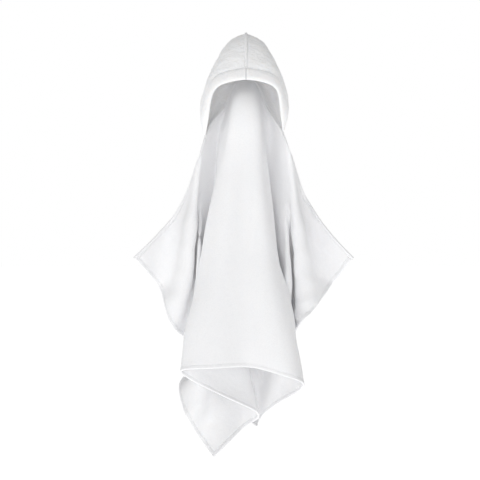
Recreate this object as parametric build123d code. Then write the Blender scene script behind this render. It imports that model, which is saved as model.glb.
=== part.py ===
"""Hooded baby towel, hanging from the loop at the middle of its neck seam.

Millimetres. +Z is up, +X is the viewer's right when the front faces the viewer, and -Y is the front.
The origin is the point inside the hanging loop that bears on a hook.
"""

from build123d import *
import math
import os

# ---- sizes of the cut pieces ----
towel_width = 1050.0  # along the edge that carries the hood
towel_length = 700.0  # from the hooded edge to the bottom hem
hood_width = 207.0  # across the widest part of the hood
hood_height = 240.0  # from the crown to the lower tips
hood_depth = 160.0  # from the brim to the back of the head

terry_thick = 3.6
hood_thick = 4.4
hem_width = 9.0
hem_thick = 5.0
neck_binding_thick = 6.4
brim_width = 26.0
brim_thick = 9.0
crown_tape_width = 7.0
crown_stitch_inset = 1.0
crown_tape_thick = 7.0
loop_tape_width = 8.0
loop_tape_thick = 1.6
loop_inside_width = 16.0
thread_thick = 0.8

seam_gap = 0.8  # clearance between two pieces that are sewn edge to edge
neck_gap = 9.0  # the hood stops this far from the upper edge of the neck binding
thread_inset = 6.5  # from the outer edge of a hem to its line of stitching

# ---- sizes that the drape below was laid out with ----
drawn_width = 1050.0
drawn_length = 700.0
drawn_hood_width = 207.0
drawn_hood_height = 240.0
drawn_hood_depth = 160.0

wide = towel_width / drawn_width
long = towel_length / drawn_length
hood_x = hood_width / drawn_hood_width
hood_y = hood_depth / drawn_hood_depth
hood_z = hood_height / drawn_hood_height

# ---- neck seam: left tip, over the middle, to the right tip ----
neck_seam = [
    (-93, -55, -152), (-69, -24, -103), (-46, -10, -76), (-30, -2, -38), (-16, 0, -20),
    (0, 0, -17), (16, 0, -20), (30, -2, -38), (46, -10, -76), (62, -24, -103), (84, -55, -143),
]

# ---- free part of the top edge, from a neck tip out to the wing's corner, as offsets from the tip ----
left_wing_edge = [(-165, 45, -276), (-65, 45, -165)]
right_wing_edge = [(64, 45, -165), (162, 45, -285)]

# ---- hanging folds: each line starts on the top edge and runs down the cloth to the bottom hem ----
# offsets from the line's own top point, one for each seventh of the towel's length
fold_lines = {
    "left_side_edge": [
        (62, 5, -78), (101, 12, -168), (148, 40, -207), (146, 50, -252), (112, 25, -277),
        (130, 20, -380), (182, 15, -458),
    ],
    "left_wing": [
        (28, -12, -95), (48, -10, -186), (67, 12, -265), (73, 70, -333), (60, 16, -355),
        (74, 8, -440), (129, 15, -522),
    ],
    "left_ridge": [
        (-5, 25, -96), (-8, 28, -192), (-7, 33, -287), (5, 55, -384), (51, 100, -487),
        (60, 100, -568), (97, 75, -660),
    ],
    "left_valley": [
        (0, 14, -95), (-3, 16, -189), (0, 30, -285), (14, 56, -385), (46, 80, -486),
        (96, 62, -589), (96, 40, -698),
    ],
    "left_return": [
        (-13, -14, -80), (-23, -24, -179), (-35, -36, -273), (-46, -38, -370), (-42, -34, -471),
        (-25, -12, -563), (-9, -8, -665),
    ],
    "panel_left": [
        (-6, -58, -60), (-22, -60, -157), (-42, -60, -252), (-62, -60, -347), (-84, -64, -444),
        (-104, -68, -540), (-117, -53, -645),
    ],
    "panel_mid_left": [
        (-6, -80, -52), (-16, -80, -153), (-23, -82, -255), (-35, -86, -353), (-46, -92, -455),
        (-55, -98, -557), (-60, -105, -658),
    ],
    "panel_middle": [
        (0, -84, -50), (-2, -84, -150), (-2, -82, -252), (-2, -82, -353), (-2, -84, -453),
        (0, -87, -556), (0, -90, -657),
    ],
    "panel_mid_right": [
        (4, -80, -52), (10, -80, -153), (16, -82, -255), (25, -86, -353), (35, -92, -455),
        (44, -98, -560), (51, -104, -668),
    ],
    "panel_right": [
        (3, -56, -62), (9, -56, -160), (20, -56, -255), (34, -58, -350), (52, -62, -450),
        (73, -66, -555), (99, -70, -675),
    ],
    "right_return": [
        (-5, -12, -69), (5, -18, -163), (16, -26, -264), (25, -30, -366), (35, -26, -467),
        (37, -10, -575), (39, 5, -676),
    ],
    "right_valley": [
        (-11, 20, -76), (-11, 26, -173), (-7, 38, -279), (-11, 58, -387), (-25, 74, -495),
        (-26, 66, -600), (-25, 64, -695),
    ],
    "right_ridge": [
        (-1, 30, -99), (1, 32, -198), (6, 31, -294), (-24, 75, -393), (-62, 122, -496),
        (-60, 122, -588), (-52, 125, -663),
    ],
    "right_wing": [
        (-18, -2, -94), (-42, -2, -182), (-58, 12, -258), (-70, 35, -327), (-75, 80, -389),
        (-128, 110, -414), (-156, 122, -484),
    ],
    "right_side_edge": [
        (-66, 5, -84), (-126, 15, -152), (-172, 72, -216), (-200, 105, -262), (-209, 125, -315),
        (-209, 135, -350), (-218, 132, -394),
    ],
}

# ---- hood lines: each runs from the crown down one side to the neck tip, the left side is written ----
hood_lines = [
    [(0, -112, -25), (-46, -108, -33), (-69, -102, -46), (-80, -94, -74), (-85, -80, -110)],
    [(0, -100, 22), (-44, -93, 15), (-73, -85, -10), (-92, -78, -55), (-100, -66, -104)],
    [(0, -36, 84), (-34, -33, 67), (-63, -29, 28), (-86, -27, -27), (-98, -30, -85)],
    [(0, 38, 50), (-36, 38, 36), (-61, 34, 4), (-77, 22, -42), (-88, -8, -96)],
    [(0, 40, 6), (-28, 36, -12), (-50, 26, -45), (-66, 10, -80), (-82, -18, -118)],
]


def moved(point, offset, scale=(1, 1, 1)):
    """The point, shifted by an offset that is scaled along each axis."""
    return tuple(p + o * s for p, o, s in zip(point, offset, scale))


def smooth_line(points, steps=12):
    """Many points along a natural cubic curve through the given ones, spaced by chord length."""
    knots = [0.0]
    for a, b in zip(points, points[1:]):
        knots.append(knots[-1] + max(math.dist(a, b), 1e-6))
    bends = [natural_bends(knots, [p[axis] for p in points]) for axis in range(3)]
    line = []
    for i in range(len(points) - 1):
        width = knots[i + 1] - knots[i]
        for step in range(steps):
            b = step / steps
            a = 1 - b
            line.append(
                tuple(
                    a * points[i][axis]
                    + b * points[i + 1][axis]
                    + ((a**3 - a) * bends[axis][i] + (b**3 - b) * bends[axis][i + 1]) * width**2 / 6
                    for axis in range(3)
                )
            )
    line.append(tuple(points[-1]))
    return line


def natural_bends(knots, values):
    """Second derivatives of the natural cubic curve through the values, by forward and back substitution."""
    count = len(values)
    bends = [0.0] * count
    carry = [0.0] * count
    for i in range(1, count - 1):
        before = knots[i] - knots[i - 1]
        after = knots[i + 1] - knots[i]
        share = before / (before + after)
        pivot = share * bends[i - 1] + 2
        bends[i] = (share - 1) / pivot
        slope = (values[i + 1] - values[i]) / after - (values[i] - values[i - 1]) / before
        carry[i] = (6 * slope / (before + after) - share * carry[i - 1]) / pivot
    for i in range(count - 2, 0, -1):
        bends[i] = bends[i] * bends[i + 1] + carry[i]
    bends[0] = 0.0
    bends[-1] = 0.0
    return bends


def line_length(line):
    return sum(math.dist(a, b) for a, b in zip(line, line[1:]))


def along(line, distances):
    """Points on a line of many points at the given distances from its start."""
    found = []
    walked = 0.0
    i = 0
    for distance in distances:
        step = math.dist(line[i], line[i + 1])
        while walked + step < distance and i < len(line) - 2:
            walked += step
            i += 1
            step = math.dist(line[i], line[i + 1])
        share = (distance - walked) / step
        found.append(tuple(a + (b - a) * share for a, b in zip(line[i], line[i + 1])))
    return found


def stretch_of(line, start, end, count):
    """Evenly spaced points on a line from one distance to another."""
    return along(line, [start + (end - start) * i / (count - 1) for i in range(count)])


def crossing(a, b):
    return (a[1] * b[2] - a[2] * b[1], a[2] * b[0] - a[0] * b[2], a[0] * b[1] - a[1] * b[0])


def offset_grid(grid, distance):
    """The grid pushed along its own normals."""
    rows = len(grid)
    columns = len(grid[0])
    pushed = []
    for r in range(rows):
        row = []
        for c in range(columns):
            down = moved(grid[min(r + 1, rows - 1)][c], grid[max(r - 1, 0)][c], (-1, -1, -1))
            across = moved(grid[r][min(c + 1, columns - 1)], grid[r][max(c - 1, 0)], (-1, -1, -1))
            normal = crossing(across, down)
            size = math.hypot(*normal)
            row.append(moved(grid[r][c], normal, [distance / size] * 3))
        pushed.append(row)
    return pushed


def sheet(grid, low, high):
    """A closed solid of sheet between two offsets from a grid of points, ruled from row to row."""
    skins = [offset_grid(grid, side) for side in (low, high)]
    rows = [[Edge.make_spline(row) for row in skin] for skin in skins]
    faces = []
    for skin_rows in rows:
        faces += [Face.make_surface_from_curves(a, b) for a, b in zip(skin_rows, skin_rows[1:])]
    for end in (0, -1):
        faces.append(Face.make_surface_from_curves(rows[0][end], rows[1][end]))
        for i in range(len(grid) - 1):
            near, far = [Edge.make_line(skin[i][end], skin[i + 1][end]) for skin in skins]
            faces.append(Face.make_surface_from_curves(near, far))
    solid = Solid(Shell(faces))
    return solid if solid.volume > 0 else Solid(Shell([-face for face in faces]))


def save(name, *solids):
    shape = solids[0] if len(solids) == 1 else Compound(children=list(solids))
    export_step(shape, os.path.join("parts", name + ".step"))


# ---- the draped towel as a surface ----
neck_points = [(x * hood_x, y * hood_y, z * hood_z) for x, y, z in neck_seam]
free_edge = (wide, wide, wide)
top_points = (
    [moved(neck_points[0], offset, free_edge) for offset in left_wing_edge]
    + neck_points
    + [moved(neck_points[-1], offset, free_edge) for offset in right_wing_edge]
)
left_tip = len(left_wing_edge)
right_tip = left_tip + len(neck_points) - 1

column_lines = []
for top, offsets in zip(top_points, fold_lines.values()):
    column_lines.append(smooth_line([top] + [moved(top, offset, (wide, wide, long)) for offset in offsets]))

cross_steps = 12


def cloth_row(depth):
    """The cloth's line at one distance below the top edge, measured down the cloth."""
    share = depth / towel_length
    points = [along(line, [share * line_length(line)])[0] for line in column_lines]
    return smooth_line(points, cross_steps)


def spread(start, end, count):
    return [start + (end - start) * i / (count - 1) for i in range(count)]


def from_fold_to_fold(row, start, end, per_fold=5):
    """Points on a cloth row, as many between each two folds, from start to a distance short of its end."""
    points = []
    folds = (len(row) - 1) // cross_steps
    for i in range(folds):
        part = row[i * cross_steps : (i + 1) * cross_steps + 1]
        first = start if i == 0 else 0.0
        last = line_length(part) - (end if i == folds - 1 else 0.0)
        points += stretch_of(part, first, last, per_fold + 1)[:-1]
    return points + stretch_of(part, last, last, 2)[:1]


def hem_rows(edge, opposite, start, end, count):
    """Two rows of points a hem's width apart, from the same share of both lines."""
    return [stretch_of(line, start, line_length(line) - end, count) for line in (edge, opposite)]


# ---- the hood as a surface, from six lines that run from the crown to the neck tip ----
crown_gap = crown_tape_width / 2 + seam_gap
hood_steps = 10


def hood_side(side):
    """The hood's lines on one side, each from the crown to the neck tip, and last the neck seam itself."""
    middle = len(neck_points) // 2
    seam = neck_points[middle::side]
    tip = seam[-1]
    drawn_tip = neck_points[0]
    lines = []
    for points in hood_lines:
        line = []
        for i, (x, y, z) in enumerate(points):
            share = (i / len(points)) ** 2
            drop = (tip[2] - drawn_tip[2]) * share
            narrow = 1 + (abs(tip[0] / drawn_tip[0]) - 1) * i / len(points)
            line.append((-side * x * hood_x * narrow, y * hood_y, z * hood_z + drop))
        lines.append(smooth_line(line + [tip], hood_steps))
    lines.append(smooth_line(seam, hood_steps))
    return lines


def hood_cross(lines, share, gap=0.0):
    """A line over the cloth from brim to neck seam, at a share of the way from a gap to the tip."""
    points = [along(line, [gap + share * (line_length(line) - gap)])[0] for line in lines]
    return smooth_line(points, hood_steps)


os.makedirs("parts", exist_ok=True)

# ---- the towel ----
side_inset = hem_width + seam_gap
body_rows = 22
body_depths = spread(side_inset, towel_length - side_inset, body_rows)
body_grid = [from_fold_to_fold(cloth_row(depth), side_inset, side_inset) for depth in body_depths]
save("towel_body", sheet(body_grid, -terry_thick / 2, terry_thick / 2))

# ---- hems round the towel ----
half_hem = hem_thick / 2
top_rows = [from_fold_to_fold(cloth_row(depth), 0, 0) for depth in (0.0, hem_width)]
bottom_rows = [from_fold_to_fold(cloth_row(towel_length - depth), 0, 0) for depth in (hem_width, 0.0)]
folds_per_column = (len(top_rows[0]) - 1) // (len(top_points) - 1)
left_cut = left_tip * folds_per_column
right_cut = right_tip * folds_per_column


def top_strip(first, last, start, end, thick):
    """A strip along the top edge between two of its points, stopped short by a gap at each end."""
    grid = []
    for row in top_rows:
        part = row[first : last + 1]
        part[0] = along(part, [start])[0]
        part[-1] = along(part, [line_length(part) - end])[0]
        grid.append(part)
    return sheet(grid, -thick / 2, thick / 2)


neck_end_gap = 2.0  # between the neck binding's ends and the top hems
save("left_top_hem", top_strip(0, left_cut, 0, neck_end_gap, hem_thick))
save("right_top_hem", top_strip(right_cut, len(top_rows[0]) - 1, neck_end_gap, 0, hem_thick))
save("neck_binding", top_strip(left_cut, right_cut, 0, 0, neck_binding_thick))
save("bottom_hem", sheet(bottom_rows, -half_hem, half_hem))

side_grids = {"left_side_hem": [], "right_side_hem": []}
for depth in body_depths:
    row = cloth_row(depth)
    length = line_length(row)
    side_grids["left_side_hem"].append(stretch_of(row, 0, hem_width, 4))
    side_grids["right_side_hem"].append(stretch_of(row, length - hem_width, length, 4))
for name, grid in side_grids.items():
    save(name, sheet(grid, -half_hem, half_hem))

# ---- hood panels, brim bands and crown tape ----
tip_share = 0.93  # the panels stop just short of the point where the brim and the neck seam meet
hood_rows = 16
brim_columns = 5
panel_columns = 14
brim_share = 0.4  # of the cloth from brim to neck, where the hood is narrower than the band needs
brim_stitch_share = 0.8  # how far in from the brim's edge it is stitched
panel_gap = crown_gap * 1.5  # the crown tape is set between the panels, and they turn away from it
half_brim = brim_thick / 2
half_thread = thread_thick / 2


def brim_reach(cross):
    return min(brim_width, line_length(cross) * brim_share)


brim_threads = []
for name, side in (("left", -1), ("right", 1)):
    lines = hood_side(side)
    band = []
    seam_thread = []
    panel = []
    for share in spread(0, tip_share, hood_rows):
        cross = hood_cross(lines, share, seam_gap)
        reach = brim_reach(cross)
        band.append(stretch_of(cross, 0, reach, brim_columns))
        stitched = reach * brim_stitch_share
        seam_thread.append(stretch_of(cross, stitched, stitched + thread_thick, 3))
        cross = hood_cross(lines, share, panel_gap)
        start = brim_reach(cross) + seam_gap
        panel.append(stretch_of(cross, start, line_length(cross) - neck_gap, panel_columns))
    save("hood_panel_" + name, sheet(panel, -hood_thick / 2, hood_thick / 2))
    save("brim_band_" + name, sheet(band, -half_brim, half_brim))
    clear = half_brim + seam_gap
    outside = sorted([-side * clear, -side * (clear + thread_thick)])
    brim_threads.append(sheet(seam_thread, *outside))
save("brim_thread", *brim_threads)

crown_line = hood_cross(hood_side(1), 0)
crown_points = stretch_of(crown_line, brim_width + 2 * seam_gap, line_length(crown_line) - neck_gap, 30)


def crown_strip(middle, half_width, low, high):
    sides = (middle - half_width, middle + half_width)
    return sheet([[(x, y, z) for _, y, z in crown_points] for x in sides], low, high)


half_tape = crown_tape_thick / 2
crown_half = crown_tape_width / 2
save("crown_tape", crown_strip(0, crown_half, -half_tape, half_tape))
crown_clear = half_tape + seam_gap
crown_stitch = crown_half - crown_stitch_inset
crown_threads = [
    crown_strip(x, half_thread, -crown_clear - thread_thick, -crown_clear)
    for x in (-crown_stitch, crown_stitch)
]
save("crown_thread", *crown_threads)

# ---- stitching on the hems and the neck binding, on the front of the cloth ----
hem_clear = half_hem + seam_gap
neck_clear = neck_binding_thick / 2 + seam_gap


def depth_thread(depth, first, last, clear):
    """A thread along the cloth at one depth, between two of its points."""
    rows = [cloth_row(d) for d in (depth, depth + thread_thick)]
    grid = [from_fold_to_fold(row, hem_width, hem_width)[first:last] for row in rows]
    return sheet(grid, -clear - thread_thick, -clear)


side_threads = [[], []]
for depth in body_depths:
    row = cloth_row(depth)
    length = line_length(row)
    side_threads[0].append(stretch_of(row, thread_inset, thread_inset + thread_thick, 3))
    side_threads[1].append(stretch_of(row, length - thread_inset - thread_thick, length - thread_inset, 3))
save(
    "hem_thread",
    depth_thread(thread_inset, 0, left_cut, hem_clear),
    depth_thread(thread_inset, right_cut + 1, None, hem_clear),
    depth_thread(towel_length - thread_inset - thread_thick, 0, None, hem_clear),
    *[sheet(grid, -hem_clear - thread_thick, -hem_clear) for grid in side_threads],
)
save("neck_thread", depth_thread(thread_inset, left_cut + 1, right_cut, neck_clear))

# ---- hanging loop, an arch of tape that stands on the neck binding ----
arch = loop_inside_width / 2 + loop_tape_thick / 2
arch_centre = -loop_inside_width / 2
leg_foot = neck_points[len(neck_points) // 2][2] + neck_binding_thick / 2 + seam_gap
arch_steps = 16
arch_path = [(-arch, leg_foot)]
arch_path += [
    (-arch * math.cos(math.pi * i / arch_steps), arch_centre + arch * math.sin(math.pi * i / arch_steps))
    for i in range(arch_steps + 1)
]
arch_path.append((arch, leg_foot))
half_loop = loop_tape_width / 2
loop_grid = [[(x, y, z) for x, z in arch_path] for y in (-half_loop, half_loop)]
save("hanging_loop", sheet(loop_grid, -loop_tape_thick / 2, loop_tape_thick / 2))

print("neck seam", round(line_length(smooth_line(neck_points))), "mm long")
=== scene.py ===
import bpy
import math
import numpy as np
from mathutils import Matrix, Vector, kdtree, noise


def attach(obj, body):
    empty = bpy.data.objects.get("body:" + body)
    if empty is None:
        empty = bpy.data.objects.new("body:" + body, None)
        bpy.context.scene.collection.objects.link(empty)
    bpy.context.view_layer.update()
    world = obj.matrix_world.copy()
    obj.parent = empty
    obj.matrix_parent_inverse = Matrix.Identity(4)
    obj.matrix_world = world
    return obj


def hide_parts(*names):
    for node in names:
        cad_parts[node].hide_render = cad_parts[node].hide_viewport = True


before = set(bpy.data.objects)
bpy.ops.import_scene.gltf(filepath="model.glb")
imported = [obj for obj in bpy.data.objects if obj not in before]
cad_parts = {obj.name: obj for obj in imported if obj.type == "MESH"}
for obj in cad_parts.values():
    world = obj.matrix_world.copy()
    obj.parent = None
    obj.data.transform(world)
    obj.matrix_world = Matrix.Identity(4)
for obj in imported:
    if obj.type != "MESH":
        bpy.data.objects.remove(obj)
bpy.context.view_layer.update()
print("frame loaded")

mm = 0.001

# the drape, in millimetres, on the same fold lines as the frame
towel = {
    "width": 1050.0,
    "length": 700.0,
    "thick": 3.4,
    "hemWidth": 9.0,
    "hemThick": 4.6,
    "depthRange": (-113.0, 131.0),
}

neckSeam = [
    (-93, -55, -152), (-69, -24, -103), (-46, -10, -76), (-30, -2, -38), (-16, 0, -20),
    (0, 0, -17), (16, 0, -20), (30, -2, -38), (46, -10, -76), (62, -24, -103), (84, -55, -143),
]
leftWingEdge = [(-165, 45, -276), (-65, 45, -165)]  # offsets from the left neck tip
rightWingEdge = [(64, 45, -165), (162, 45, -285)]

# each fold line hangs from its own point on the top edge: offsets at every seventh of the towel's length,
# and where the line sits across the flat cloth, at the top edge and at the bottom hem
foldLines = [
    (-525, -525, [
        (62, 5, -78), (101, 12, -168), (148, 40, -207), (146, 50, -252), (112, 25, -277),
        (130, 20, -380), (182, 15, -458),
    ]),
    (-373, -460, [
        (28, -12, -95), (48, -10, -186), (67, 12, -265), (73, 70, -333), (60, 16, -355),
        (74, 8, -440), (129, 15, -522),
    ]),
    (-180, -414, [
        (-5, 25, -96), (-8, 28, -192), (-7, 33, -287), (5, 55, -384), (51, 100, -487),
        (60, 100, -568), (97, 75, -660),
    ]),
    (-118, -390, [
        (0, 14, -95), (-3, 16, -189), (0, 30, -285), (14, 56, -385), (46, 80, -486),
        (96, 62, -589), (96, 40, -698),
    ]),
    (-80, -285, [
        (-13, -14, -80), (-23, -24, -179), (-35, -36, -273), (-46, -38, -370), (-42, -34, -471),
        (-25, -12, -563), (-9, -8, -665),
    ]),
    (-42, -168, [
        (-6, -58, -60), (-22, -60, -157), (-42, -60, -252), (-62, -60, -347), (-84, -64, -444),
        (-104, -68, -540), (-117, -53, -645),
    ]),
    (-18, -78, [
        (-6, -80, -52), (-16, -80, -153), (-23, -82, -255), (-35, -86, -353), (-46, -92, -455),
        (-55, -98, -557), (-60, -105, -658),
    ]),
    (0, 0, [
        (0, -84, -50), (-2, -84, -150), (-2, -82, -252), (-2, -82, -353), (-2, -84, -453),
        (0, -87, -556), (0, -90, -657),
    ]),
    (18, 72, [
        (4, -80, -52), (10, -80, -153), (16, -82, -255), (25, -86, -353), (35, -92, -455),
        (44, -98, -560), (51, -104, -668),
    ]),
    (42, 148, [
        (3, -56, -62), (9, -56, -160), (20, -56, -255), (34, -58, -350), (52, -62, -450),
        (73, -66, -555), (99, -70, -675),
    ]),
    (80, 240, [
        (-5, -12, -69), (5, -18, -163), (16, -26, -264), (25, -30, -366), (35, -26, -467),
        (37, -10, -575), (39, 5, -676),
    ]),
    (114, 365, [
        (-11, 20, -76), (-11, 26, -173), (-7, 38, -279), (-11, 58, -387), (-25, 74, -495),
        (-26, 66, -600), (-25, 64, -695),
    ]),
    (180, 398, [
        (-1, 30, -99), (1, 32, -198), (6, 31, -294), (-24, 75, -393), (-62, 122, -496),
        (-60, 122, -588), (-52, 125, -663),
    ]),
    (373, 460, [
        (-18, -2, -94), (-42, -2, -182), (-58, 12, -258), (-70, 35, -327), (-75, 80, -389),
        (-128, 110, -414), (-156, 122, -484),
    ]),
    (525, 525, [
        (-66, 5, -84), (-126, 15, -152), (-172, 72, -216), (-200, 105, -262), (-209, 125, -315),
        (-209, 135, -350), (-218, 132, -394),
    ]),
]

# hood lines from the crown down the left side to the neck tip, front to back
hood = {
    "panelThick": 4.4,
    "panelGrid": (150, 170),  # rows down from the crown, points from the brim to the neck
    "panelInset": 1.0,  # how far a panel reaches under the brim band
    "neckInset": 2.0,
    "tipShare": 0.95,  # the panels stop just short of the neck tips
    "brimWidth": 26.0,
    "brimShare": 0.4,  # of the cloth from brim to neck, where the hood is narrower than the band
    "brimThick": 9.5,
    "brimSteps": 22,
    "stitchShare": 0.86,  # how far across the band it is stitched
    "crownWidth": 6.5,
    "crownThick": 6.5,
    "neckGap": 4.0,
    "cutWidth": 190.0,
    "cutHeight": 235.0,
    "cutArea": 0.04,  # square metres, as each panel is cut with a curved crown and brim
}
hoodLines = [
    [(0, -112, -25), (-46, -108, -33), (-69, -102, -46), (-80, -94, -74), (-85, -80, -110)],
    [(0, -100, 22), (-44, -93, 15), (-73, -85, -10), (-92, -78, -55), (-100, -66, -104)],
    [(0, -36, 84), (-34, -33, 67), (-63, -29, 28), (-86, -27, -27), (-98, -30, -85)],
    [(0, 38, 50), (-36, 38, 36), (-61, 34, 4), (-77, 22, -42), (-88, -8, -96)],
    [(0, 40, 6), (-28, 36, -12), (-50, 26, -45), (-66, 10, -80), (-82, -18, -118)],
]


def bendsOf(knots, points):
    # second derivatives of the natural cubic curve through the points
    count = len(knots)
    steps = np.diff(knots)
    matrix = np.eye(count)
    right = np.zeros_like(points)
    for i in range(1, count - 1):
        matrix[i, i - 1:i + 2] = steps[i - 1], 2 * (steps[i - 1] + steps[i]), steps[i]
        right[i] = 6 * ((points[i + 1] - points[i]) / steps[i] - (points[i] - points[i - 1]) / steps[i - 1])
    return np.linalg.solve(matrix, right)


def smoothThrough(points, at=None, perSpan=24):
    # a natural cubic curve spaced by chord length, read at the given chord distances or at even steps
    points = np.asarray(points, float)
    chords = np.linalg.norm(np.diff(points, axis=0), axis=1)
    knots = np.concatenate([[0], np.cumsum(np.maximum(chords, 1e-6))])
    if at is None:
        places = np.linspace(0, len(points) - 1, (len(points) - 1) * perSpan + 1)
        at = np.interp(places, np.arange(len(points)), knots)
    elif callable(at):
        at = at(knots)
    bends = bendsOf(knots, points)
    i = np.clip(np.searchsorted(knots, at, side="right") - 1, 0, len(knots) - 2)
    width = knots[i + 1] - knots[i]
    b = ((at - knots[i]) / width)[:, None]
    a = 1 - b
    curved = ((a**3 - a) * bends[i] + (b**3 - b) * bends[i + 1]) * width[:, None]**2 / 6
    return a * points[i] + b * points[i + 1] + curved


def walk(line, distances):
    # points on a dense line at distances from its start
    run = np.concatenate([[0], np.cumsum(np.linalg.norm(np.diff(line, axis=0), axis=1))])
    return np.stack([np.interp(distances, run, line[:, k]) for k in range(3)], axis=1)


def lengthOf(line):
    return float(np.linalg.norm(np.diff(line, axis=0), axis=1).sum())


def normalsOf(grid):
    # unit normals of a grid of points; across and down the grid give the side
    across = np.gradient(grid, axis=1)
    down = np.gradient(grid, axis=0)
    normal = np.cross(across, down)
    return normal / np.maximum(np.linalg.norm(normal, axis=2, keepdims=True), 1e-9)


def bumpy(points, size, seed=0):
    # smooth noise from -1 to 1 at each point, with lumps of the given size
    shift = Vector((seed * 7.3, seed * 3.1, seed * 5.7))
    flat = points.reshape(-1, 3) / size
    return np.array([noise.noise(Vector(p) + shift) for p in flat]).reshape(points.shape[:-1])


def meshPiece(name, vertices, faces, material, slot):
    mesh = bpy.data.meshes.new(name)
    mesh.from_pydata((np.asarray(vertices, float).reshape(-1, 3) * mm).tolist(), [], faces)
    mesh.polygons.foreach_set("use_smooth", [True] * len(mesh.polygons))
    mesh.materials.append(material)
    mesh.update()
    piece = bpy.data.objects.new(name, mesh)
    bpy.context.collection.objects.link(piece)
    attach(piece, "root")
    return piece


def gridFaces(rows, columns, first=0, flip=False, wrapColumns=False):
    faces = []
    for r in range(rows - 1):
        for c in range(columns if wrapColumns else columns - 1):
            d = (c + 1) % columns
            here = first + r * columns
            below = here + columns
            quad = (here + c, here + d, below + d, below + c)
            faces.append(quad[::-1] if flip else quad)
    return faces


def closedSheet(front, back):
    # one closed mesh from two matching grids, joined round the edge
    rows, columns = front.shape[:2]
    count = rows * columns
    faces = gridFaces(rows, columns) + gridFaces(rows, columns, first=count, flip=True)
    rim = list(range(columns)) + [r * columns + columns - 1 for r in range(1, rows)]
    rim += [(rows - 1) * columns + c for c in range(columns - 2, -1, -1)]
    rim += [r * columns for r in range(rows - 2, 0, -1)]
    for a, b in zip(rim, rim[1:] + rim[:1]):
        faces.append((b, a, a + count, b + count))
    return np.concatenate([front.reshape(-1, 3), back.reshape(-1, 3)]), faces


def tubeOf(rings):
    # closed mesh from matching rings of points, capped at both ends
    count, sides = rings.shape[:2]
    faces = gridFaces(count, sides, wrapColumns=True)
    faces.append(tuple(range(sides - 1, -1, -1)))
    faces.append(tuple((count - 1) * sides + i for i in range(sides)))
    return rings.reshape(-1, 3), faces


def linear(hexColour):
    # sRGB hex to linear
    values = [int(hexColour[i:i + 2], 16) / 255 for i in (1, 3, 5)]
    return [v / 12.92 if v <= 0.04045 else ((v + 0.055) / 1.055) ** 2.4 for v in values] + [1.0]


def addNode(tree, kind, inputs=None, **settings):
    node = tree.nodes.new(kind)
    for key, value in settings.items():
        setattr(node, key, value)
    for key, value in (inputs or {}).items():
        if isinstance(value, bpy.types.NodeSocket):
            tree.links.new(value, node.inputs[key])
        else:
            node.inputs[key].default_value = value
    return node


def newMaterial(name, roughness, sheen, sheenRoughness=0.5, ior=1.5, subsurface=0.0):
    material = bpy.data.materials.new(name)
    material.use_nodes = True
    tree = material.node_tree
    shader = tree.nodes["Principled BSDF"]
    shader.inputs["Roughness"].default_value = roughness
    shader.inputs["IOR"].default_value = ior
    shader.inputs["Sheen Weight"].default_value = sheen
    shader.inputs["Sheen Roughness"].default_value = sheenRoughness
    shader.inputs["Sheen Tint"].default_value = linear("#FFFFFF")
    shader.inputs["Subsurface Weight"].default_value = subsurface
    shader.inputs["Subsurface Radius"].default_value = (1.0, 0.95, 0.9)
    shader.inputs["Subsurface Scale"].default_value = 5 * mm
    return material, tree, shader


def blendColour(tree, shader, dark, light, factor):
    colour = addNode(tree, "ShaderNodeMix", {"Factor": factor}, data_type="RGBA", clamp_factor=True)
    colour.inputs[6].default_value = linear(dark)
    colour.inputs[7].default_value = linear(light)
    tree.links.new(colour.outputs[2], shader.inputs["Base Color"])


def raiseBump(tree, shader, strength, depth, height):
    bump = addNode(tree, "ShaderNodeBump", {"Strength": strength, "Distance": depth * mm, "Height": height})
    tree.links.new(bump.outputs["Normal"], shader.inputs["Normal"])


def terryMaterial(name, dark, light, loop, depth, clumps, sheen, glow):
    # cotton towelling, woven with a loop pile: gives matt round loop heads, raised by the bump, with painted
    # shade in the colour between them
    material, tree, shader = newMaterial(name, 0.92, sheen, subsurface=glow)
    place = addNode(tree, "ShaderNodeTexCoord").outputs["Object"]
    loops = addNode(tree, "ShaderNodeTexVoronoi", {
        "Vector": place, "Scale": 1 / (loop * mm), "Randomness": 0.8,
    })
    fibres = addNode(tree, "ShaderNodeTexNoise", {
        "Vector": place, "Scale": 1 / (clumps * mm), "Detail": 4.0, "Roughness": 0.6,
    })
    patches = addNode(tree, "ShaderNodeTexNoise", {"Vector": place, "Scale": 1 / (45 * mm), "Detail": 2.0})
    heads = addNode(tree, "ShaderNodeMapRange", {
        "Value": loops.outputs["Distance"], "From Min": 0.05, "From Max": 0.75, "To Min": 1.0, "To Max": 0.0,
    }).outputs["Result"]
    height = addNode(tree, "ShaderNodeMath", {0: heads, 1: fibres.outputs["Fac"]}, operation="MULTIPLY")
    # painted shade: the colour is lighter on the loop heads and darker between them, added to random patches
    # of tone
    paintedLoopShade = addNode(tree, "ShaderNodeMath", {0: heads, 1: 0.6}, operation="MULTIPLY")
    mixed = addNode(tree, "ShaderNodeMath", {
        0: patches.outputs["Fac"], 1: 0.4, 2: paintedLoopShade.outputs[0],
    }, operation="MULTIPLY_ADD")
    blendColour(tree, shader, dark, light, mixed.outputs[0])
    raiseBump(tree, shader, 0.5, depth, height.outputs[0])
    return material


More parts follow.
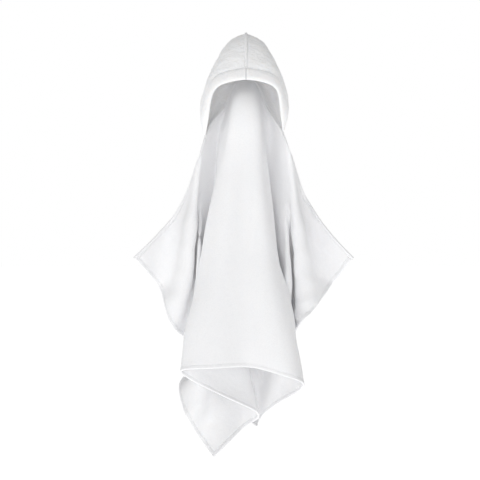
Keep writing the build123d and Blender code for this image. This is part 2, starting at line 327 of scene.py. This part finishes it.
def wovenMaterial(name, dark, light, thread, depth, roughness=0.8, sheen=0.2):
    # plain woven cotton, warp crossed by weft: gives a flatter and finer surface than the pile
    material, tree, shader = newMaterial(name, roughness, sheen)
    place = addNode(tree, "ShaderNodeTexCoord").outputs["Object"]
    waves = {"Vector": place, "Scale": 1 / (thread * mm) / 6.28, "Distortion": 1.5, "Detail": 1.0}
    warp = addNode(tree, "ShaderNodeTexWave", waves, bands_direction="X")
    weft = addNode(tree, "ShaderNodeTexWave", waves, bands_direction="Z")
    crossed = {0: warp.outputs["Fac"], 1: weft.outputs["Fac"]}
    weave = addNode(tree, "ShaderNodeMath", crossed, operation="MULTIPLY")
    slubs = addNode(tree, "ShaderNodeTexNoise", {"Vector": place, "Scale": 1 / (8 * mm), "Detail": 3.0})
    mixed = addNode(tree, "ShaderNodeMath", {
        0: weave.outputs[0], 1: 0.5, 2: slubs.outputs["Fac"],
    }, operation="MULTIPLY_ADD")
    blendColour(tree, shader, dark, light, mixed.outputs[0])
    raiseBump(tree, shader, 0.4, depth, mixed.outputs[0])
    return material


# cotton terry, loop woven and washed soft: white, matt, with light soaking a little way in
# its loops are about 1.6 mm apart, drawn at 2.6 mm so that they show at all
bodyTerry = terryMaterial(
    "cottonTerryLooped", "#F3F3F5", "#FCFCFD", loop=2.6, depth=0.35, clumps=5.0, sheen=0.25, glow=0.35,
)
# cotton terry with a longer, brushed pile: whiter and softer, in tufts about 3 mm across
hoodTerry = terryMaterial(
    "cottonTerryTufted", "#F8F8FA", "#FFFFFF", loop=3.2, depth=0.9, clumps=7.0, sheen=0.35, glow=0.7,
)
# cotton, plain woven and folded: a flat band that reads as an edge against the pile
hemCotton = wovenMaterial("cottonWovenHem", "#F0F0F2", "#FAFAFB", thread=1.4, depth=0.25)
# cotton tape, woven narrow: close threads, so a crisper surface than the hem's
tapeCotton = wovenMaterial("cottonHerringboneTape", "#F2F2F4", "#FEFEFE", thread=1.1, depth=0.3)
# polyester, spun and twisted: a faint shine that picks each stitch out of the cotton
threadPolyester = wovenMaterial(
    "polyesterSewingThread", "#E6E6E9", "#F8F8F9", thread=0.6, depth=0.1, roughness=0.5, sheen=0.1,
)
print("materials made")

neckPoints = np.array(neckSeam, float)
topPoints = np.concatenate([neckPoints[0] + leftWingEdge, neckPoints, neckPoints[-1] + rightWingEdge])
foldTops = np.array([line[0] for line in foldLines], float)
foldHems = np.array([line[1] for line in foldLines], float)
foldCurves = [
    smoothThrough([top] + [top + np.array(offset, float) for offset in line[2]])
    for top, line in zip(topPoints, foldLines)
]


def clothRow(depth, across):
    # the cloth's points at one depth below the top edge, at positions across the flat cloth
    share = depth / towel["length"]
    crossing = np.array([walk(curve, [share * lengthOf(curve)])[0] for curve in foldCurves])
    stations = foldTops + (foldHems - foldTops) * share
    return smoothThrough(crossing, at=lambda knots: np.interp(across, stations, knots))


def drapedCloth(cell):
    columns = int(round(towel["width"] / cell)) + 1
    rows = int(round(towel["length"] / cell)) + 1
    across = np.linspace(-towel["width"] / 2, towel["width"] / 2, columns)
    depths = np.linspace(0, towel["length"], rows)
    return across, depths, np.array([clothRow(depth, across) for depth in depths])


settling = {
    "cells": (35, 17.5, 8.75),  # coarse to fine
    "rounds": (500, 260, 130),
    "slack": 0.97,
    "clear": 10.0,  # how far apart two layers are kept
    "pushEvery": 12,
    "calm": 0.06,
    "haste": 1.9,
}
# how hard each stretch keeps its drawn place, in x, y and z
holds = {
    "middle": (0.02, 0.002, 0.02),
    "wings": (0.05, 0.002, 0.05),
    "column": (0.10, 0.02, 0.10),
    "lowestFold": (0.3, 0.1, 0.3),
    "bottomHem": (0.4, 0.02, 0.4),
    "sideHems": (0.4, 0.01, 0.4),
    "topEdge": (0.5, 0.02, 0.5),
}
# rows and columns between two tied points, and how firm the tie is: along, slanting and bending
links = ((0, 1, 1.0), (1, 0, 1.0), (1, 1, 0.35), (1, -1, 0.35), (0, 2, 0.12), (2, 0, 0.12))


def holdOn(across, depths):
    u, v = np.meshgrid(np.abs(across), depths)
    hold = np.zeros(u.shape + (3,))
    hold[...] = holds["middle"]
    hold[u > 300] = holds["wings"]
    hold[u < 110] = holds["column"]
    hold[v > 560] = holds["column"]
    hold[(v > 540) & (across > -410) & (across < -370)] = holds["lowestFold"]
    hold[-1] = holds["bottomHem"]
    hold[:, 0] = hold[:, -1] = holds["sideHems"]
    hold[0] = holds["topEdge"]
    hold[0][np.abs(across) < 175] = 1.0  # the neck seam stays put
    return hold


def pushApart(points, clear):
    # keeps layers of cloth from passing through each other
    rows, columns = points.shape[:2]
    flat = points.reshape(-1, 3)
    tree = kdtree.KDTree(len(flat))
    for i, p in enumerate(flat):
        tree.insert(p, i)
    tree.balance()
    move = np.zeros_like(flat)
    for i, p in enumerate(flat):
        r, c = divmod(i, columns)
        for other, j, gap in tree.find_range(p, clear):
            if j <= i:
                continue
            r2, c2 = divmod(j, columns)
            if abs(r - r2) <= 2 and abs(c - c2) <= 2:
                continue
            push = (flat[i] - flat[j]) * (0.25 * (clear - gap) / max(gap, 1e-6))
            move[i] += push
            move[j] -= push
    return points + move.reshape(points.shape)


def settled(points, across, depths, rounds):
    # lets the drawn cloth take up its full cut length by buckling, mostly in depth
    drawn = points.copy()
    hold = holdOn(across, depths)
    stepU = (across[1] - across[0]) * settling["slack"]
    stepV = (depths[1] - depths[0]) * settling["slack"]
    # the folds that hang in front stay as shallow as drawn, and the rest takes up the cut's length
    u, v = np.meshgrid(np.abs(across), depths)
    free = 1 - 0.9 * np.clip((370 - u) / 60, 0, 1) * np.clip((500 - v) / 80, 0, 1)
    for turn in range(rounds):
        move = np.zeros_like(points)
        weight = np.zeros(points.shape[:2] + (1,))
        for dr, dc, firm in links:
            rows, columns = points.shape[:2]
            a = (slice(0, rows - dr), slice(max(0, -dc), columns - max(0, dc)))
            b = (slice(dr, rows), slice(max(0, dc), columns + min(0, dc)))
            span = points[b] - points[a]
            length = np.linalg.norm(span, axis=2, keepdims=True)
            cut = math.hypot(dr * stepV, dc * stepU)
            was = np.linalg.norm(drawn[b] - drawn[a], axis=2, keepdims=True)
            rest = was + (cut - was) * free[a][..., None]
            pull = span * (0.5 * firm * (1 - rest / np.maximum(length, 1e-6)))
            move[a] += pull
            move[b] -= pull
            weight[a] += firm
            weight[b] += firm
        points = points + move / weight * settling["haste"]
        points += (drawn - points) * hold
        shift = points - drawn
        edged = np.pad(shift, ((1, 1), (1, 1), (0, 0)), mode="edge")
        mean = (edged[:-2, 1:-1] + edged[2:, 1:-1] + edged[1:-1, :-2] + edged[1:-1, 2:]) / 4
        points += (mean - shift) * settling["calm"]
        if turn % settling["pushEvery"] == settling["pushEvery"] - 1:
            points = pushApart(points, settling["clear"])
        points[..., 1] = np.clip(points[..., 1], *towel["depthRange"])
    return points


def evenly(line, count):
    return smoothThrough(line, at=lambda knots: np.interp(
        np.linspace(0, len(knots) - 1, count), np.arange(len(knots)), knots,
    ))


def finer(grid, rows, columns):
    grid = np.array([evenly(row, columns) for row in grid])
    return np.array([evenly(line, rows) for line in grid.transpose(1, 0, 2)]).transpose(1, 0, 2)


def areaOf(grid):
    a = grid[1:, :-1] - grid[:-1, :-1]
    b = grid[:-1, 1:] - grid[:-1, :-1]
    return float(np.linalg.norm(np.cross(a, b), axis=2).sum())


moved = None
for cell, rounds in zip(settling["cells"], settling["rounds"]):
    across, depths, drawn = drapedCloth(cell)
    cloth = drawn if moved is None else drawn + finer(moved, *drawn.shape[:2])
    cloth = settled(cloth, across, depths, rounds)
    moved = cloth - drawn
    print("settled", cell, "area share", round(areaOf(cloth) / (towel["width"] * towel["length"]), 3))
clothNormals = normalsOf(cloth)  # these point away from the viewer
print("drape made", cloth.shape)


def onCloth(u, v):
    # points and normals of the draped cloth at places on the flat cloth
    u, v = np.broadcast_arrays(np.asarray(u, float), np.asarray(v, float))
    x = (u - across[0]) / (across[1] - across[0])
    y = (v - depths[0]) / (depths[1] - depths[0])
    c = np.clip(x.astype(int), 0, len(across) - 2)
    r = np.clip(y.astype(int), 0, len(depths) - 2)
    fx, fy = (x - c)[..., None], (y - r)[..., None]

    def read(grid):
        low = grid[r, c] * (1 - fx) + grid[r, c + 1] * fx
        high = grid[r + 1, c] * (1 - fx) + grid[r + 1, c + 1] * fx
        return low * (1 - fy) + high * fy

    normal = read(clothNormals)
    return read(cloth), normal / np.linalg.norm(normal, axis=-1, keepdims=True)


bodyGrid = (170, 260)
inset = towel["hemWidth"] - 1.0  # the sheet's raw edge is hidden inside the folded hem
bodyU = np.linspace(across[0] + inset, across[-1] - inset, bodyGrid[1])
bodyV = np.linspace(inset, towel["length"] - inset, bodyGrid[0])
middle, away = onCloth(bodyU[None, :], bodyV[:, None])
pile = 0.35 * bumpy(middle, 6.0, 1)[..., None]
halfThick = towel["thick"] / 2 + pile
bodyMesh = closedSheet(middle - away * halfThick, middle + away * halfThick)
towelBody = meshPiece("towelBody", *bodyMesh, bodyTerry, "terry")
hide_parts("towel_body")
print("towel body", len(bodyMesh[0]))

# the hem's section, from its outer edge inwards: rounded, and pressed in along its stitching
hemProfile = [
    (0.0, 0.0), (0.04, 0.6), (0.16, 0.95), (0.4, 1.0), (0.62, 0.86), (0.72, 0.72), (0.84, 0.9), (1.0, 0.74),
]
hemRing = hemProfile + [(w, -h) for w, h in hemProfile[:0:-1]]
pucker = 0.16  # how far the stitching draws a hem in, as a share of its thickness


def edgeStrip(name, outer, inner, outward, thick, material, slot):
    # outer and inner are matching lines of points, outward their shared normals
    rings = []
    halves = thick / 2 * (1 + pucker * bumpy(outer, 7.0, 3))
    for start, end, lift, half in zip(outer, inner, outward, halves):
        rings.append([start + (end - start) * w + lift * h * half for w, h in hemRing])
    return meshPiece(name, *tubeOf(np.array(rings)), material, slot)


def clothStrip(name, uOuter, vOuter, uInner, vInner, **settings):
    outer, normalOuter = onCloth(uOuter, vOuter)
    inner, normalInner = onCloth(uInner, vInner)
    normal = normalOuter + normalInner
    return edgeStrip(name, outer, inner, normal / np.linalg.norm(normal, axis=1, keepdims=True), **settings)


hemStep = 3.0
seamGap = 2  # between the top hems and the neck binding
bindingThick = 6.4
halfWidth = towel["width"] / 2
neckEnd = foldTops[len(leftWingEdge) + len(neckSeam) - 1]
hemLook = {"thick": towel["hemThick"], "material": hemCotton, "slot": "hem_terry"}
wide = towel["hemWidth"]


def run(start, end):
    return np.linspace(start, end, max(2, int(abs(end - start) / hemStep) + 1))


bottomRun = run(-halfWidth, halfWidth)
bottomHem = clothStrip("bottomHem", bottomRun, towel["length"], bottomRun, towel["length"] - wide, **hemLook)
sideRun = run(wide, towel["length"] - wide)
leftSideHem = clothStrip("leftSideHem", -halfWidth, sideRun, wide - halfWidth, sideRun, **hemLook)
rightSideHem = clothStrip("rightSideHem", halfWidth, sideRun, halfWidth - wide, sideRun, **hemLook)
leftRun = run(-halfWidth, -neckEnd - seamGap)
leftTopHem = clothStrip("leftTopHem", leftRun, 0, leftRun, wide, **hemLook)
rightRun = run(neckEnd + seamGap, halfWidth)
rightTopHem = clothStrip("rightTopHem", rightRun, 0, rightRun, wide, **hemLook)
neckRun = run(-neckEnd, neckEnd)
neckBinding = clothStrip(
    "neckBinding", neckRun, 0, neckRun, wide, thick=bindingThick, material=tapeCotton, slot="cotton_tape",
)
for piece, node in (
    (bottomHem, "bottom_hem"), (leftSideHem, "left_side_hem"), (rightSideHem, "right_side_hem"),
    (leftTopHem, "left_top_hem"), (rightTopHem, "right_top_hem"), (neckBinding, "neck_binding"),
):
    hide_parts(node)
print("hems made")

stitch = {"pitch": 3.6, "length": 2.7, "radius": 0.42, "sides": 6, "rings": 5}


def stitchesAlong(name, lines):
    # lines are (points, normals)
    # each stitch is a short bowed thread that dips into the cloth at both ends
    vertices, faces = [], []
    angles = np.linspace(0, 2 * math.pi, stitch["sides"], endpoint=False)
    for points, normals in lines:
        total = lengthOf(points)
        for k in range(int(total / stitch["pitch"])):
            start = (k + 0.15) * stitch["pitch"]
            spots = walk(points, start + stitch["length"] * np.linspace(0, 1, stitch["rings"]))
            lift = normals[min(int(start / total * len(points)), len(points) - 1)]
            forward = spots[-1] - spots[0]
            forward /= np.linalg.norm(forward)
            sideways = np.cross(forward, lift)
            sideways /= np.linalg.norm(sideways)
            up = np.cross(sideways, forward)
            rings = []
            for j, spot in enumerate(spots):
                bow = math.sin(math.pi * j / (stitch["rings"] - 1))
                radius = stitch["radius"] * (0.45 + 0.55 * bow)
                centre = spot + up * stitch["radius"] * (1.3 * bow - 0.6)
                rings.append([centre + (sideways * math.cos(a) + up * math.sin(a)) * radius for a in angles])
            tubeVertices, tubeFaces = tubeOf(np.array(rings))
            first = len(vertices)
            vertices.extend(tubeVertices.tolist())
            faces.extend(tuple(first + i for i in face) for face in tubeFaces)
    return meshPiece(name, vertices, faces, threadPolyester, "thread")


def hemLines(u, v, thick, sides=(-1, 1)):
    points, normal = onCloth(u, v)
    depth = thick / 2 * hemProfile[-1][1]
    return [(points + normal * side * depth, normal * side) for side in sides]


threadIn = 6.5
threadGap = 3  # the stitching stops this far from the neck tips
fineSide = np.linspace(wide, towel["length"] - wide, 400)
fineBottom = np.linspace(wide - halfWidth, halfWidth - wide, 600)
fineLeft = np.linspace(wide - halfWidth, -neckEnd - threadGap, 200)
fineRight = np.linspace(neckEnd + threadGap, halfWidth - wide, 200)
fineNeck = np.linspace(threadGap - neckEnd, neckEnd - threadGap, 200)
hemThread = stitchesAlong("hemThread", (
    hemLines(fineBottom, towel["length"] - threadIn, towel["hemThick"])
    + hemLines(threadIn - halfWidth, fineSide, towel["hemThick"])
    + hemLines(halfWidth - threadIn, fineSide, towel["hemThick"])
    + hemLines(fineLeft, threadIn, towel["hemThick"])
    + hemLines(fineRight, threadIn, towel["hemThick"])
))
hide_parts("hem_thread")
neckThread = stitchesAlong("neckThread", hemLines(fineNeck, threadIn, bindingThick, (-1,)))
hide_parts("neck_thread")
print("stitching made")

hoodMiddle = np.array([0.0, -35.0, -25.0])


def hoodSide(side):
    # the hood's lines on one side, each from the crown to the neck tip; the last is the neck seam
    seam = neckPoints[len(neckPoints) // 2::side]
    tip = seam[-1]
    lines = []
    for points in hoodLines:
        count = len(points)
        line = []
        for i, (x, y, z) in enumerate(points):
            drop = (tip[2] - neckPoints[0][2]) * (i / count) ** 2
            narrow = 1 + (abs(tip[0] / neckPoints[0][0]) - 1) * i / count
            line.append((-side * x * narrow, y, z + drop))
        lines.append(smoothThrough(line + [tip]))
    return lines + [smoothThrough(seam)]


def hoodAcross(lines, share, gap=0.0):
    # a dense line over the cloth from the brim's edge to the neck seam
    return smoothThrough([walk(line, [gap + share * (lengthOf(line) - gap)])[0] for line in lines])


def outwards(points, normals):
    return normals * np.sign(((points - hoodMiddle) * normals).sum(-1).mean())


def brimReach(line):
    return min(hood["brimWidth"], lengthOf(line) * hood["brimShare"])


def hoodPanelOf(lines, side, word):
    rows, columns = hood["panelGrid"]
    panel = []
    for share in np.linspace(0, hood["tipShare"], rows):
        line = hoodAcross(lines, share, 0.6)
        start = brimReach(line) - hood["panelInset"]
        panel.append(walk(line, np.linspace(start, lengthOf(line) - hood["neckInset"], columns)))
    panel = np.array(panel)
    outward = outwards(panel, normalsOf(panel))
    streaks = panel * np.array([0.45, 1, 1])  # the pile lies in short streaks along the rows
    tufts = 0.9 * bumpy(streaks, 4.4, 5) + 0.5 * bumpy(streaks, 2.4, 6) + 1.2 * bumpy(streaks, 17.0, 7)
    # drawn in where the crown seam gathers it, and along the brim's stitching
    gathers = 1 + 0.7 * bumpy(panel[0], 9.0, 12)
    crownCrease = 2.6 * np.exp(-(np.arange(rows) / 3.5))[:, None] * gathers
    crease = crownCrease + 1.6 * np.exp(-(np.arange(columns) / 2.5))
    half = hood["panelThick"] / 2
    front = panel + outward * (half + tufts - crease)[..., None]
    back = panel - outward * (half + 0.6 * tufts)[..., None]
    vertices, faces = closedSheet(front, back) if side > 0 else closedSheet(back, front)
    piece = meshPiece(word + "HoodPanel", vertices, faces, hoodTerry, "hood_terry")
    print(word, "hood panel", round(areaOf(panel)), "square mm")
    return piece


def brimBandOf(lines, side, word):
    # a thick turned edge, round in front and pinched at its stitching
    shares = np.concatenate([np.linspace(0, 0.03, 6), np.linspace(0.035, 0.97, 150)])
    steps = hood["brimSteps"]
    band = []
    for share in shares:
        line = hoodAcross(lines, share, 0.4)
        band.append(walk(line, np.linspace(0, brimReach(line), steps)))
    band = np.array(band)
    outward = outwards(band, normalsOf(band))
    w = np.linspace(0, 1, steps)
    rounded = np.sqrt(np.clip(1 - ((0.35 - w) / 0.35) ** 2, 0, 1))
    height = np.where(w < 0.35, rounded, 1 - 0.5 * ((w - 0.35) / 0.65) ** 2)
    notch = 1 - 0.45 * np.exp(-shares / 0.012)  # pulled thin where the crown seam crosses it
    tufts = 0.10 * bumpy(band, 4.5, 8) + 0.05 * bumpy(band, 2.2, 9)
    rise = hood["brimThick"] / 2 * (height[None, :] * notch[:, None] + tufts * height[None, :])
    fade = np.clip((1 - shares) / 0.25, 0.35, 1)[:, None]
    outer = band + outward * (rise * fade)[..., None]
    inner = band - outward * (rise * fade)[..., None]
    rings = np.concatenate([outer, inner[:, -2:0:-1]], axis=1)
    if side > 0:
        rings = rings[:, ::-1]
    piece = meshPiece(word + "BrimBand", *tubeOf(rings), hoodTerry, "hood_terry")
    at = int(steps * hood["stitchShare"])
    return piece, (outer[4:, at], outward[4:, at])


brimThreadLines, hoodPanels, brimBands = [], [], []
for side, word in ((-1, "left"), (1, "right")):
    lines = hoodSide(side)
    hoodPanel = hoodPanelOf(lines, side, word)
    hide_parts("hood_panel_" + word)
    hoodPanels.append(hoodPanel)
    brimBand, brimThreadLine = brimBandOf(lines, side, word)
    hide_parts("brim_band_" + word)
    brimBands.append(brimBand)
    brimThreadLines.append(brimThreadLine)
brimThread = stitchesAlong("brimThread", brimThreadLines)
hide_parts("brim_thread")
print("hood made")

# crown tape: a raised ridge over the seam, flat behind the brim band
sideways = np.array([1.0, 0, 0])
crown = hoodAcross(hoodSide(1), 0)
crownAt = np.linspace(hood["brimWidth"] + 1, lengthOf(crown) - hood["neckGap"], 140)
crownLine = walk(crown, crownAt)
crownLine[:, 0] = 0.6 * bumpy(crownLine, 18.0, 11)
crownForward = np.gradient(crownLine, axis=0)
crownForward[:, 0] = 0
crownForward /= np.linalg.norm(crownForward, axis=1, keepdims=True)
crownOut = outwards(crownLine, np.cross(crownForward, sideways))
ridge = np.clip((crownAt - hood["brimWidth"] - 18) / 16, 0.0, 1)
fullness = 0.7 + 0.3 * ridge
standing = 1.2 * ridge - 0.9  # how far the tape's middle stands out from the seam
turn = np.linspace(0, 2 * math.pi, 16, endpoint=False)
crownRings = []
for i, spot in enumerate(crownLine):
    reach = sideways * hood["crownWidth"] / 2 * fullness[i]
    lift = crownOut[i] * hood["crownThick"] / 2 * fullness[i]
    centre = spot + crownOut[i] * standing[i]
    crownRings.append([centre + reach * math.cos(a) + lift * math.sin(a) for a in turn])
crownTape = meshPiece("crownTape", *tubeOf(np.array(crownRings)), tapeCotton, "cotton_tape")
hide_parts("crown_tape")
crownTop = (hood["crownThick"] / 2 * fullness * 0.75 + standing)[:, None]
crownThreadOut = 2.1  # each line of crown stitching, from the middle of the tape
crownStitches = [
    (crownLine + sideways * x + crownOut * crownTop, crownOut) for x in (-crownThreadOut, crownThreadOut)
]
crownThread = stitchesAlong("crownThread", crownStitches)
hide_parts("crown_thread")

# hanging loop: a flat tape bent over in an arch, its two feet in the neck seam
loop = {"inside": 16.0, "width": 8.0, "thick": 1.5, "foot": -17.0}
arch = loop["inside"] / 2 + loop["thick"] / 2
bow = np.linspace(math.pi, 0, 25)
archTop = [(arch * math.cos(a), arch * math.sin(a) - loop["inside"] / 2) for a in bow]
archPath = [(-arch, loop["foot"])] + archTop + [(arch, loop["foot"])]
archOut = [(-1, 0)] + [(math.cos(a), math.sin(a)) for a in bow] + [(1, 0)]
halfTape = [(-0.5, 0), (-0.46, 0.4), (-0.3, 0.5), (0, 0.5), (0.3, 0.5), (0.46, 0.4)]
tapeRing = halfTape + [(-w, -t) for w, t in halfTape]
loopRings = []
for (x, z), (outX, outZ) in zip(archPath, archOut):
    loopRings.append([
        (x + outX * t * loop["thick"], w * loop["width"], z + outZ * t * loop["thick"]) for w, t in tapeRing
    ])
hangingLoop = meshPiece("hangingLoop", *tubeOf(np.array(loopRings)), tapeCotton, "cotton_tape")
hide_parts("hanging_loop")
print("loop made")

studio = {
    "floorBelow": 1.12,
    "floorHalf": 60.0,
    "floorGlow": 0.72,
    "fill": 0.325,
    "cameraLens": 180.0,
    "pictureWidth": 1.104,
    "aimX": -0.0138,
    "aimZ": -0.3864,
}
# place, aim, size and power of each lamp
lamps = {
    "keyLight": ((-2.3, -2.8, 1.2), (0, 0, -0.4), 1.6, 18),
    "frontLight": ((-0.5, -3.4, -0.5), (0, 0, -0.3), 1.2, 13.5),
    "topLight": ((0.2, -0.6, 2.6), (0, 0, -0.3), 1.5, 10),
}


def paleStudio():
    material, tree, shader = newMaterial("matPaleFloor", 0.9, 0.0)
    place = addNode(tree, "ShaderNodeTexCoord").outputs["Object"]
    mottle = addNode(tree, "ShaderNodeTexNoise", {"Vector": place, "Scale": 3.0})
    colour = addNode(tree, "ShaderNodeMix", {"Factor": mottle.outputs["Fac"]}, data_type="RGBA")
    colour.inputs[6].default_value = linear("#FAFAFA")
    colour.inputs[7].default_value = linear("#FFFFFF")
    tree.links.new(colour.outputs[2], shader.inputs["Base Color"])
    shader.inputs["Emission Color"].default_value = linear("#FFFFFF")
    shader.inputs["Emission Strength"].default_value = studio["floorGlow"]
    half, low = studio["floorHalf"], -studio["floorBelow"]
    corners = [(-half, -half, low), (half, -half, low), (half, half, low), (-half, half, low)]
    mesh = bpy.data.meshes.new("floor")
    mesh.from_pydata(corners, [], [(0, 1, 2, 3)])
    mesh.materials.append(material)
    floor = bpy.data.objects.new("floor", mesh)
    bpy.context.collection.objects.link(floor)


def softLight(name, place, aim, size, power):
    light = bpy.data.lights.new(name, "AREA")
    light.shape = "DISK"
    light.size = size
    light.energy = power
    lamp = bpy.data.objects.new(name, light)
    lamp.location = place
    lamp.rotation_euler = (Vector(aim) - Vector(place)).to_track_quat("-Z", "Y").to_euler()
    bpy.context.collection.objects.link(lamp)


paleStudio()
world = bpy.data.worlds.new("studio")
world.use_nodes = True
sky = world.node_tree
lit = sky.nodes["Background"]  # the soft light that reaches the cloth
lit.inputs["Color"].default_value = linear("#FFFFFF")
lit.inputs["Strength"].default_value = studio["fill"]
seen = addNode(sky, "ShaderNodeBackground", {"Color": linear("#FFFFFF"), "Strength": 1.0})  # the white wall
rays = addNode(sky, "ShaderNodeLightPath")
both = addNode(sky, "ShaderNodeMixShader", {
    0: rays.outputs["Is Camera Ray"], 1: lit.outputs[0], 2: seen.outputs[0],
})
sky.links.new(both.outputs[0], sky.nodes["World Output"].inputs["Surface"])
bpy.context.scene.world = world
for lampName, lampSettings in lamps.items():
    softLight(lampName, *lampSettings)
bpy.context.scene.view_settings.view_transform = "Standard"

camera = bpy.data.cameras.new("camera")
camera.lens = studio["cameraLens"]
camera.clip_end = 200
cameraObject = bpy.data.objects.new("camera", camera)
distance = studio["pictureWidth"] * camera.lens / camera.sensor_width
cameraObject.location = (studio["aimX"], -distance, studio["aimZ"])
cameraObject.rotation_euler = (math.pi / 2, 0, 0)
bpy.context.collection.objects.link(cameraObject)
bpy.context.scene.camera = cameraObject
print("studio made")
